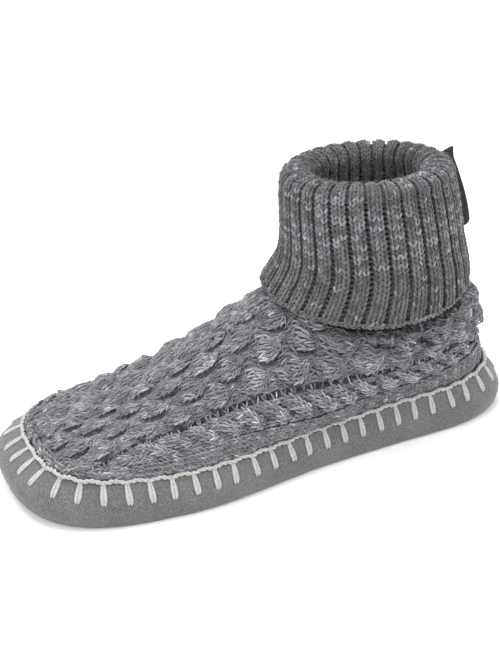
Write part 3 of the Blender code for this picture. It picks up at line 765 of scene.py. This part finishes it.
always = np.ones(len(course_run), bool)
field_scale = np.interp(course_at, section, field_girth) / LADDER_WALE
rope_scale = np.interp(course_at, section, band_scale)
LOW_RISE = 0.2
# Painted light and shade on the scales' stitches: paler at the lip, where light falls, and darker in the pocket
# under the next lip, where shade falls.
SCALE_PAINTED_LIGHT_AND_SHADE, TINT_UNLIKE = (0.07, 0.06, 0.03, 0.0, -0.05, -0.1), 0.05  # pale at the lip, dark in the pocket
LOW_SHARES = (0.17, 0.5, 0.83)  # between the points of the lowest scales and the ladder
lips = [scale_edge(row, course_run) for row in range(SCALE_ROWS + 1)]
for name, side in (("left_scale_stitches", 1), ("right_scale_stitches", -1)):
    scales = Legs(**FOOT_LEG)
    for row, (low, high) in enumerate(zip(lips, lips[1:])):
        paler = TINT_UNLIKE * scale_vary(row, course_run, 1.9)
        for number, tint in enumerate(SCALE_PAINTED_LIGHT_AND_SHADE):
            wale = low - (low - high) * (number + 0.5) / SCALE_WALES
            foot_wale(scales, np.maximum(wale, 0.0), side, field_rise(wale, course_run), wale >= 0,
                      field_scale * (low - high) / SCALE_WALES, tint + paler)
    room = LADDER_WALE - 0.6 - lips[0]
    for share in LOW_SHARES:
        foot_wale(scales, lips[0] + room * share, side, LOW_RISE, room > 1.4, field_scale * room / 3)
    piece(name, scales.made(name), wool, "cable_knit")

# Side cable: three wales to each strand of the rope, plain wales above and below it, single rungs of yarn that
# cross the ladder in pairs, and at the toe the last stitches along the suede, where the wales end.
CABLE_LEG = {"lean": math.radians(19), "length": 2.0, "width": 0.22, "thickness": 0.6, "scatter": 0.08}
STRAND_WALE, STRAND_ROUND, STRAND_WIDTH = 2.1, 0.7, 2.4
# The rope's stitches are made paler than the rest, less so at the heel: painted light.
ROPE_PAINTED_LIGHT = {"run": [30.0, 90.0], "shade": [0.06, 0.16]}
PLAIN_WALES, PLAIN_LEAST = (41.2, 50.4, 53.8, 56.3, 58.7, 61.1, 63.2), 0.7
RUNG_REACH, RUNG_HALF, RUNG_LEAN, RUNG_SHIFT, RUNG_LOWEST = (1.5, 2.2), 0.38, 0.3, 0.9, 4.0
TOE_RIM, RIM_COLUMNS, RIM_PLACE = [(0.3, 0.8), (2.2, 0.5)], 24, 2  # up from the suede, and out
rim = last[first_toe - RIM_COLUMNS :]
rim_outward = last_outward[first_toe - RIM_COLUMNS :, RIM_PLACE]
rim_girths = np.linalg.norm(np.diff(rim, axis=1), axis=2).sum(1)
for name, side in (("left_cable_stitches", 1), ("right_cable_stitches", -1)):
    cable = Legs(**CABLE_LEG)
    for strand in (0, 1):
        phase, middle, crest = rope_strand(strand, course_run)
        for number in (-1, 0, 1):
            foot_wale(cable, middle + number * STRAND_WALE, side, crest - STRAND_ROUND * number * number,
                      np.cos(phase) > -0.9, rope_scale * STRAND_WIDTH,
                      np.interp(course_run, ROPE_PAINTED_LIGHT["run"], ROPE_PAINTED_LIGHT["shade"]))
    for wale in PLAIN_WALES:
        rise = LOW_RISE if wale < GROOVE_WALE else max(plain_rise(wale), PLAIN_LEAST)
        foot_wale(cable, np.full_like(course_run, wale), side, rise, always, rope_scale * WALE)
    up = girth_of(np.full_like(course_run, LADDER_MIDDLE), course_at)
    points, outward = on_knit(course_at, up, side)
    count = len(points)
    ahead = unit(np.gradient(points, axis=0))
    second = (np.arange(count) % 2)[:, None]  # the rungs stand in pairs that lean together
    slant = RUNG_LEAN - 2 * RUNG_LEAN * second + rng.normal(0, 0.12, (count, 1))
    rung = (np.cross(outward, ahead) + ahead * slant) * rng.uniform(*RUNG_REACH, (count, 1)) * rope_scale[:, None]
    sunk = hollow(course_at, course_run, up)[:, None] + rng.uniform(0.1, 0.7, (count, 1))
    points = points + ahead * (rng.normal(0, 0.25, (count, 1)) - RUNG_SHIFT * second) - outward * sunk
    shown = (up > RUNG_LOWEST) & (rng.uniform(size=count) > 0.08)
    cable.parts.append([x[shown] for x in (points, rung, ahead * RUNG_HALF, outward * RUNG_HALF,
                                           rng.uniform(0.4, 0.9, count))])
    for up, lift in TOE_RIM:
        edge = np.array([walk(path, even_places * path_girth, up) for path, path_girth in zip(rim, rim_girths)])
        reach = lengths(edge)
        even = np.arange(0.0, reach[-1], COURSE)
        points, outward = (walk(grid, reach, even) * [1, side, 1] for grid in (edge, rim_outward))
        cable.add_wale(bent(points) + outward * lift + rng.normal(0, 0.2, points.shape), outward,
                       rng.uniform(size=len(even)) > 0.15, np.full_like(even, WALE),
                       FOOT_SHADE + rng.normal(0, 0.12, len(even)))
    piece(name, cable.made(name), wool, "cable_knit")

# Fuzz: loose fibre ends that stand out of the brushed yarn. Each is a fine closed spike, thicker than a hair
# so that it shows, and they lie mostly along the surface.
FUZZ, FUZZ_LENGTH, FUZZ_THICKNESS, FUZZ_LIFT = 16000, (1.5, 4.0), 0.075, 0.45
bm = bmesh.new()
bmesh.ops.create_uvsphere(bm, u_segments=3, v_segments=2, radius=1.0)
hair_mesh = made_mesh("hair", bm)


def fuzz(name, points, outward, shades, material, slot):
    """Fibres at points of a surface, each in its own direction."""
    count = len(points)
    aim = rng.normal(0, 1, (count, 3))
    aim = unit(aim - outward * (aim * outward).sum(1, keepdims=True))
    aim = unit(aim + outward * rng.uniform(0.0, 0.7, (count, 1)))
    aside = np.cross(outward, aim)
    above = np.cross(aim, aside)
    reach = rng.uniform(*FUZZ_LENGTH, (count, 1)) / 2
    bow = rng.uniform(2, 9)
    piece(name, copies(name, hair_mesh, points + aim * reach * 0.6, aim * reach, aside * FUZZ_THICKNESS,
                       above * FUZZ_THICKNESS, shades, bow), material, slot)


hair_run, hair_wale = rng.uniform(3, along[-1] - 3, FUZZ), rng.uniform(0, 66, FUZZ)
hair_side = rng.choice([-1.0, 1.0], FUZZ)
hair_at = np.interp(hair_run, along, section)
hair_up = girth_of(hair_wale, hair_at)
points, outward = on_knit(hair_at, hair_up, hair_side)
rise = relief(hair_wale, hair_run) * settle(hair_at, hair_run, hair_up) - hollow(hair_at, hair_run, hair_up)
points = points + outward * (np.maximum(rise, -3) + FUZZ_LIFT)[:, None]
shown = (hair_up > 0.8) & (hair_up < np.interp(hair_at, section, girth))
fuzz("foot_fuzz", points[shown], outward[shown], rng.uniform(0.3, 0.9, shown.sum()), wool, "cable_knit")

# Blanket stitch: off-white two-ply yarn that sews the suede to the knit. Each stitch comes out of a needle
# hole, runs up over the cut edge as a plump bar, and catches the loop that lies along the edge to the next.
PLY, PLY_APART, PLY_FLAT, BAR_END = 0.85, 0.85, 0.7, 1.03
BAR_HEIGHT, BAR_SINK, BAR_LENGTH = 0.45, 0.2, 9.0
CHAIN_PLY, CHAIN_TURN, CHAIN_APART, CHAIN_STEPS = 0.7, 5.2, 0.42, 14
CHAIN_OUT, CHAIN_OVER = 0.3, 0.65
FIBRE, SEWING_COLOURS = 0.7, [(0.3, "#8d8d8c"), (0.6, "#aeaead")]
sewing = bmesh.new()
for turn, share in zip(hole_turns, hole_share):
    turn += rng.normal(0, 0.002)
    tilt = rng.normal(0, 0.06)
    point, outward = outline(turn)
    edge_way = np.array([-outward[1], outward[0], 0.0])
    for ply in (-1, 1):
        for vertex in bmesh.ops.create_uvsphere(sewing, u_segments=8, v_segments=10, radius=1.0)["verts"]:
            x, y, z = vertex.co
            t = math.acos(max(-1.0, min(1.0, -z))) / math.pi  # even along the bar, from the hole to the edge
            round_end = math.sqrt(max(1 - (2 * t - 1) ** 8, 0.0))
            swell = 0.72 + 0.28 * math.sin(math.pi * min(t * 1.25, 1.0))
            thick = PLY * round_end * swell / (math.hypot(x, y) or 1.0)
            offset = ply * PLY_APART * PLY * swell + x * thick * 0.95 + tilt * (1 - t) * BAR_LENGTH
            height = BAR_HEIGHT * min(1.0, 5 * t) + y * thick * PLY_FLAT - BAR_SINK
            here = wall_place(turn, -height, share + (BAR_END - share) * t)
            vertex.co = bent(here + edge_way * offset) * MM
steps = np.linspace(0, 2 * math.pi, hole_count * CHAIN_STEPS, endpoint=False)
run_here = np.interp(steps, edge_turns, edge_runs)
edge = wall_place(steps, 0.0, 1.0)
outward = np.concatenate([outline(steps)[1], np.zeros((len(steps), 1))], 1)
phase = 2 * math.pi * (run_here - HOLE_START) / (edge_length / hole_count)
wander = 0.25 * np.sin(run_here / 17.0) + 0.2 * np.sin(run_here / 7.3 + 1.0)
for ply in (0, 1):
    twist = 2 * math.pi * run_here / CHAIN_TURN + ply * math.pi
    rows = []
    for around in np.linspace(0, 2 * math.pi, 7)[:-1]:
        out = CHAIN_OUT + CHAIN_APART * np.cos(twist) + CHAIN_PLY * math.cos(around)
        out = out + 0.15 * np.cos(phase) + wander
        over = CHAIN_OVER + CHAIN_APART * np.sin(twist) + CHAIN_PLY * math.sin(around) - 0.35 * np.cos(phase)
        rows.append(edge + outward * out[:, None] + np.array([0, 0, 1.0]) * over[:, None])
    chain_mesh = made_mesh("chain_ply", grid_mesh(bent(np.stack(rows + rows[:1], 1))))
    sewing.from_mesh(chain_mesh)
    bpy.data.meshes.remove(chain_mesh)
bmesh.ops.recalc_face_normals(sewing, faces=sewing.faces)
cotton, tree, shader = finish("soft_two_ply_yarn", roughness=0.9, sheen_weight=0.2)
place = add(tree, "ShaderNodeTexCoord").outputs["Object"]
fibre = add(tree, "ShaderNodeTexNoise", {"Vector": place, "Scale": 1 / (FIBRE * MM), "Detail": 3.0}).outputs["Fac"]
coat(shader, fibre, SEWING_COLOURS, fibre, 0.5, 0.25)
piece("blanket_stitch", made_mesh("blanket_stitch", sewing), cotton, "cable_knit")

# Ribbed cuff: a tube of two-and-one rib linked to the ankle, turned down over itself in a soft roll. The ribs
# show two columns of stitches each, with a narrow ditch of purl between them, dark from its depth and from painted
# shade.
RIB, RIB_COUNT, LEG_SPACE, RIB_STEPS = 3.8, 30, 2.8, 10
CUFF_TABLE = {
    "height": [66.0, 72.0, 80.0, 90.0, 104.0, 118.0, 128.0],
    "centre": [74.5, 74.2, 71.8, 70.1, 71.0, 72.7, 73.8],
    "half_length": [51.5, 50.2, 47.4, 45.0, 44.1, 42.4, 40.4],
    "half_width": [43.5, 42.8, 41.0, 39.0, 36.5, 34.0, 32.0],
}
ROLL_HEIGHT, STANDING_FOOT = 126.0, 86.8
HEM_HEIGHT, HEM_SADDLE = 73.8, 2.4
RIB_RELIEF, RIB_CROWN, RIB_DITCH = 0.85, 1.3, 2.1
DITCH_HALF = 0.195  # of the rib pitch
ROLL_SWELL, ROLL_FULL, ROLL_RISE, HEM_FLARE = 4.0, 1.2, 0.9, 2.2  # where the soft knit stands proud of its last
GROUND_UNDER, GROUND_INSIDE = 0.55, -2.5  # from the ribs' surface, and from the middle of the knit
# The cuff ground's colours darken from the purl bumps to the gaps between them: painted shade.
CUFF_GROUND_GAP_SHADE = [(0.1, "#525154"), (0.7, "#343335")]
turned_inset = RIB_RELIEF + RIB / 2
roll_radius = (RIB + LEG_SPACE) / 2


def eased(value, start, end):
    share = np.clip((value - start) / (end - start), 0, 1)
    return share * share * (3 - 2 * share)


def cuff_place(angle, stage, lift):
    """On the cuff: stage 0-1 up the standing leg, 1-2 over the roll, 2-3 down the turned leg to the
    hem, 3-4 round the hem's edge.

    Lift is measured from the middle of the knit towards the side that shows."""
    bend = np.clip(stage - 1, 0, 1) * math.pi
    hem = HEM_HEIGHT + HEM_SADDLE * np.cos(2 * angle)
    curl = np.clip(stage - 3, 0, 1) * math.pi / 2
    height = np.where(stage < 1, STANDING_FOOT + (ROLL_HEIGHT - STANDING_FOOT) * np.clip(stage, 0, 1),
                      ROLL_HEIGHT + (hem - ROLL_HEIGHT) * np.clip(stage - 2, 0, 1))
    out, rise = -np.cos(bend), np.sin(bend)
    inset = turned_inset + roll_radius + roll_radius * np.cos(bend) - lift * out * np.cos(curl)
    inset = inset + ROLL_SWELL * eased(stage, 0.1, 0.6) * (1 - eased(stage, 0.9, 1.9))
    inset = inset - ROLL_FULL * eased(stage, 1.3, 1.8) * (1 - eased(stage, 1.9, 2.5))
    inset = inset - HEM_FLARE * eased(stage, 2.5, 3.0)
    level = np.maximum(height, CUFF_TABLE["height"][0])
    centre, length, width = (through(CUFF_TABLE["height"], CUFF_TABLE[name], level)
                             for name in ("centre", "half_length", "half_width"))
    return np.stack([centre - LENGTH / 2 + (length - inset) * np.cos(angle),
                     (width - inset) * np.sin(angle) + MIDDLE,
                     height + rise * (roll_radius + ROLL_RISE + lift) - lift * np.sin(curl)], -1)


def rib_lift(angle):
    """The ribs' rounded crowns and narrow ditches, from the middle of the knit."""
    share = angle * RIB_COUNT / (2 * math.pi)
    off = abs(share - np.round(share))
    return RIB / 2 - RIB_CROWN * (off / 0.5) ** 2 - RIB_DITCH * eased(off, 0.5 - DITCH_HALF, 0.5)


angles = np.linspace(0, 2 * math.pi, RIB_COUNT * RIB_STEPS, endpoint=False)
stages = np.concatenate([np.linspace(0, 1, 9)[:-1], np.linspace(1, 2, 11)[:-1], np.linspace(2, 3, 17)[:-1],
                         np.linspace(3, 4, 4)])
grid_angle, grid_stage = np.meshgrid(angles, stages, indexing="ij")
shown = cuff_place(grid_angle, grid_stage, rib_lift(grid_angle) - GROUND_UNDER)
hidden = cuff_place(grid_angle, np.minimum(grid_stage, 3.0), GROUND_INSIDE)
bm = grid_mesh(np.concatenate([shown, hidden[:, ::-1], shown[:, :1]], 1))
piece("cuff_ground", made_mesh("cuff_ground", bm), knit_ground("rib_knit_ground", CUFF_GROUND_GAP_SHADE), "rib_knit", "cuff")

# Raised stitches of the cuff, in the same marled yarn knitted tighter. The pale ply comes up in runs along a
# course, thickest half way up the turned leg and round the roll.
CUFF_YARN = "#363538", "#555357", "#737175", "#a7a5a9"  # dark, mid, pale and light
CUFF_LEG = {"lean": math.radians(22), "length": 1.65, "width": 0.23, "thickness": 0.65, "scatter": 0.05}
CUFF_COURSE, CAST_OFF, CUFF_FUZZ = 2.1, 120, 7000
COLUMN_PLACE, COLUMN_WIDTH = 0.2, 0.4  # of the rib pitch, from the rib's middle
STITCH_LIFT, DITCH_LIFT, OUTER_SINK = RIB / 2 - 0.3, RIB / 2 - 2.4, 0.6
# The purl bumps' shade lies near the yarn's dark end: painted shade at the bottom of the ditch.
PURL_BUMP = {"across": 1.5, "along": 0.7, "thick": 0.5, "shade": 0.08}
HEM_EDGE, HEM_LIFT, HEM_DIP, HEM_WALE = 3.3, RIB / 2 - 0.7, 0.15, 2.6
LIGHT_RUNS = {"stage": [0.0, 0.6, 1.0, 1.6, 1.95, 2.05, 2.15, 2.3, 2.5, 2.56, 2.66, 2.7, 2.74, 2.8, 3.0],
              "share": [0.05, 0.1, 0.2, 0.3, 0.32, 0.25, 0.45, 0.6, 0.6, 0.3, 0.05, 0.4, 0.05, 0.04, 0.04]}
LIGHT_SHADE, DARK_SHADE = 0.64, 0.36
ROLL_TOP, HEM_END = 1.5, 3.1  # stages where the two pieces meet, and where the stitches end
rib_wool = yarn("marled_rib_yarn", CUFF_YARN, 0.1)


def cuff_courses(start, end):
    """Stages at even distances along the knit, measured up the front rib."""
    fine = np.linspace(start, end, 400)
    run = lengths(cuff_place(0.0, fine, RIB / 2))
    return np.interp(np.arange(0.6, run[-1] - 0.2, CUFF_COURSE), run, fine)


for name, start, end in (("cuff_outside_stitches", ROLL_TOP, HEM_END), ("cuff_inside_stitches", 0.0, ROLL_TOP)):
    rib_stages = cuff_courses(start, end)
    count = len(rib_stages)
    light = np.interp(rib_stages, LIGHT_RUNS["stage"], LIGHT_RUNS["share"])
    light = light * np.where(np.arange(count) % 2 == 0, 1.25, 0.5)  # mostly every other course
    starts = rng.uniform(0, 2 * math.pi, (count, 3))
    legs = Legs(**CUFF_LEG)
    for rib in range(RIB_COUNT):
        for column_side in (-1, 1):
            angle = 2 * math.pi * (rib + column_side * COLUMN_PLACE) / RIB_COUNT
            lifted = cuff_place(angle, rib_stages, STITCH_LIFT)
            above = cuff_place(angle, rib_stages, STITCH_LIFT + 0.95) - lifted
            beside = cuff_place(angle + 0.01, rib_stages, STITCH_LIFT) - lifted
            width = np.linalg.norm(beside, axis=1) / 0.01 * 2 * math.pi / RIB_COUNT * COLUMN_WIDTH
            wave = (np.sin(2 * angle + starts[:, 0]) + np.sin(3 * angle + starts[:, 1])) * 0.25 + 0.5
            lit = (wave > 1 - light) & (rng.uniform(size=count) > 0.12)
            tint = np.where(lit, LIGHT_SHADE, DARK_SHADE) + rng.normal(0, 0.09, count)
            legs.add_wale(lifted[::-1], above[::-1], np.ones(count, bool), width[::-1], tint[::-1],
                          (0.0, OUTER_SINK)[::-column_side])
        angle = 2 * math.pi * (rib + 0.5) / RIB_COUNT
        # The purl bumps at the bottom of the ditch are darkened with painted shade.
        spots = cuff_place(angle, rib_stages, DITCH_LIFT)  # the purl bumps at the bottom of the ditch
        above = cuff_place(angle, rib_stages, DITCH_LIFT + 1) - spots
        aside = unit(cuff_place(angle + 0.02, rib_stages, DITCH_LIFT) - spots)
        legs.parts.append([spots, aside * PURL_BUMP["across"], np.cross(above, aside) * PURL_BUMP["along"],
                           above * PURL_BUMP["thick"], rng.normal(PURL_BUMP["shade"], 0.06, count)])
    if end == HEM_END:  # the cast-off edge: a chain that lies along the hem
        around = np.linspace(0, 2 * math.pi, CAST_OFF)
        dip = HEM_DIP * (RIB / 2 - rib_lift(around))  # it follows the ribs in and out
        hem_line = cuff_place(around, HEM_EDGE, HEM_LIFT - dip)
        hem_out = cuff_place(around, HEM_EDGE, HEM_LIFT + 1 - dip) - hem_line
        legs.add_wale(hem_line, hem_out, np.ones(CAST_OFF, bool), np.full(CAST_OFF, HEM_WALE),
                      rng.normal(0.33, 0.1, CAST_OFF))
    piece(name, legs.made(name, 0.5), rib_wool, "rib_knit")

hair_angle, hair_stage = rng.uniform(0, 2 * math.pi, CUFF_FUZZ), rng.uniform(0.6, 3.0, CUFF_FUZZ)
points = cuff_place(hair_angle, hair_stage, RIB / 2 + 0.1)
outward = unit(cuff_place(hair_angle, hair_stage, RIB / 2 + 1.1) - points)
fuzz("cuff_fuzz", points, outward, rng.uniform(0.2, 0.8, CUFF_FUZZ), rib_wool, "rib_knit")

# Woven tab: dark satin tape folded double and caught in the cuff at the back, so that the fold stands out. Its
# fine diagonal twill gives it a dull sheen, and it is left bare.
TAB_REACH = {"height": [92.0, 92.4, 93.4, 95.0, 133.2], "reach": [4.4, 6.0, 7.1, 7.6, 3.8]}  # round below
TAPE, FOLD_GAP, TAB_WAVE = 0.5, 0.5, 0.35
TAB_SLOPE, TAB_SEAT = 2.5, 1.0  # its top edge slopes down into the roll, and it is caught this deep in the rib
THREAD, TAPE_COLOURS = 0.55, [(0.2, "#0c0c0d"), (0.8, "#1b1b1d")]  # weft and warp
WAVE_PERIOD = 0.314  # of Blender's wave texture at a scale of 1; a twill line is two threads wide
heights = np.concatenate([TAB_REACH["height"][:3], np.linspace(*TAB_REACH["height"][3:], 24)])
inner = heights - TAB_SLOPE * eased(heights, ROLL_HEIGHT, heights[-1])
over = np.maximum(inner - ROLL_HEIGHT, 0.0)
centre, length = (through(CUFF_TABLE["height"], CUFF_TABLE[name], heights) for name in ("centre", "half_length"))
back = centre - length - LENGTH / 2
round_over = RIB + LEG_SPACE / 2 + RIB_RELIEF
near_edge = back + round_over - np.sqrt(round_over**2 - over**2) + TAB_SEAT
fold = back - np.interp(heights, TAB_REACH["height"], TAB_REACH["reach"])
shares = np.linspace(0, 0.9, 8)
rows = []
for share, side in [*((s, 1) for s in shares), (1.0, 0), *((s, -1) for s in shares[::-1])]:
    gap = (FOLD_GAP + 0.12 * math.sin(3 * share)) * side
    wave = TAB_WAVE * np.sin((heights - heights[0]) / 13.0) * share
    rows.append(np.stack([near_edge + (fold - near_edge) * share, MIDDLE + gap + wave,
                          inner + (heights - inner) * share], -1))
bm = grid_mesh(np.stack(rows, 0), closed=False)
bmesh.ops.solidify(bm, geom=bm.faces[:], thickness=TAPE * MM)
bmesh.ops.recalc_face_normals(bm, faces=bm.faces)
tape, tree, shader = finish("satin_woven_tape", roughness=0.85)
place = add(tree, "ShaderNodeTexCoord").outputs["Object"]
turned = add(tree, "ShaderNodeMapping", {"Vector": place, "Rotation": (0, math.radians(45), 0)}).outputs["Vector"]
twill = add(tree, "ShaderNodeTexWave", {"Vector": turned, "Scale": WAVE_PERIOD / (THREAD * MM) / 2,
                                        "Distortion": 0.6, "Detail": 1.0}, bands_direction="X").outputs["Fac"]
coat(shader, twill, TAPE_COLOURS, twill, 0.5, 0.15)
piece("woven_tab", made_mesh("woven_tab", bm), tape, "woven_tape", "tab")

# Studio: a pale seamless paper floor, large soft lights, one of them on the floor behind, and the camera at the
# photograph's angle.
bm = bmesh.new()
bmesh.ops.create_grid(bm, x_segments=1, y_segments=1, size=3.0)
mesh = made_mesh("floor", bm)
paper, _, _ = finish("matt_white_paper", roughness=0.9, base_color=colour("#f4f4f4"))
mesh.materials.append(paper)
floor = bpy.data.objects.new("floor", mesh)
bpy.context.scene.collection.objects.link(floor)

world = bpy.data.worlds.new("studio")
bpy.context.scene.world = world
world.use_nodes = True
world.node_tree.nodes["Background"].inputs["Color"].default_value = (1.0, 1.0, 1.0, 1.0)
world.node_tree.nodes["Background"].inputs["Strength"].default_value = 0.45
TARGET = np.array([0.0, MIDDLE, 60.0])
LAMPS = {  # place, aim and size in millimetres, watts
    "toe_side": ((800.0, 500.0, 650.0), TARGET, 700.0, 9.0),
    "heel_side": ((-800.0, 500.0, 600.0), TARGET, 600.0, 8.0),
    "overhead": ((100.0, -100.0, 1200.0), TARGET, 800.0, 8.0),
    "backdrop": ((0.0, -1700.0, 1500.0), (0.0, -1700.0, 0.0), 2000.0, 60.0),
}
for name, (spot, aim, size, power) in LAMPS.items():
    lamp = bpy.data.lights.new(name, "AREA")
    lamp.size, lamp.energy = size * MM, power
    holder = bpy.data.objects.new(name, lamp)
    holder.location = np.array(spot) * MM
    holder.rotation_euler = Vector(np.array(aim) - spot).to_track_quat("-Z", "Y").to_euler()
    bpy.context.scene.collection.objects.link(holder)

AZIMUTH, ELEVATION, DISTANCE = math.radians(156.0), math.radians(27.2), 704.0
SENSOR, FRAME_LONG, FOCAL_PIXELS = 36.0, 669.0, 1534.7
OBJECT_SHIFT = (13.6, -8.6)  # pixels right and down that the object sits from the middle of the frame
camera = bpy.data.cameras.new("camera")
camera.sensor_width = SENSOR
camera.lens = SENSOR * FOCAL_PIXELS / FRAME_LONG
camera.shift_x, camera.shift_y = -OBJECT_SHIFT[0] / FRAME_LONG, OBJECT_SHIFT[1] / FRAME_LONG
holder = bpy.data.objects.new("camera", camera)
toward = Vector((math.sin(AZIMUTH) * math.cos(ELEVATION), -math.cos(AZIMUTH) * math.cos(ELEVATION),
                 math.sin(ELEVATION)))
holder.location = Vector(TARGET * MM) + toward * DISTANCE * MM
holder.rotation_euler = (-toward).to_track_quat("-Z", "Y").to_euler()
bpy.context.scene.collection.objects.link(holder)
bpy.context.scene.camera = holder
bpy.context.scene.view_settings.view_transform = "Standard"
